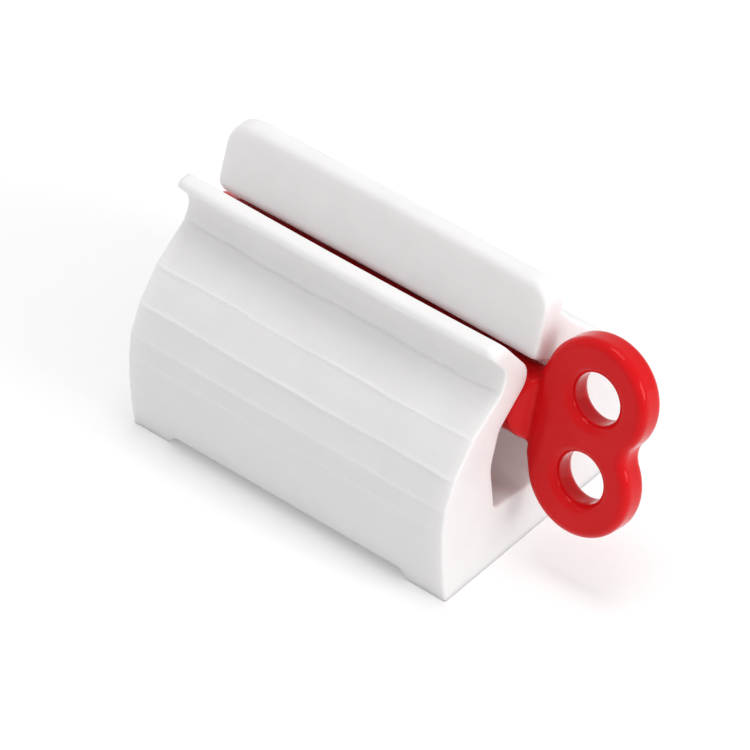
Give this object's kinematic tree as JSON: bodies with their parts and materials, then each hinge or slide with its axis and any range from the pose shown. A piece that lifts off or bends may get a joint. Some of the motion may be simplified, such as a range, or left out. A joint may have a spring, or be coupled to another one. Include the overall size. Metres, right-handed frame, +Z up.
{
  "type": "toothpaste tube squeezer",
  "caption": "Free-standing tube squeezer: a white stand with a funnel throat between lip and slab, and a red winding key with a split shaft and figure-of-eight wing.",
  "frame": {"origin": "middle of the footprint's bounding box, key included, at the height of the table", "axes": "+X along the key's shaft towards its wing, +Y from the front lip towards the back slab, +Z up"},
  "size_m": [0.0742, 0.04, 0.04],
  "materials": {
    "stand": "satin white",
    "key": "glossy red"
  },
  "bodies": {
    "stand": {"stand": "stand"},
    "key": {"key": "key"}
  },
  "joints": [
    {"name": "key_spin", "type": "hinge", "parent": "stand", "child": "key", "pos_m": [0.02885, -0.00067, 0.02245], "axis": [1, 0, 0], "continuous": true}
  ]
}
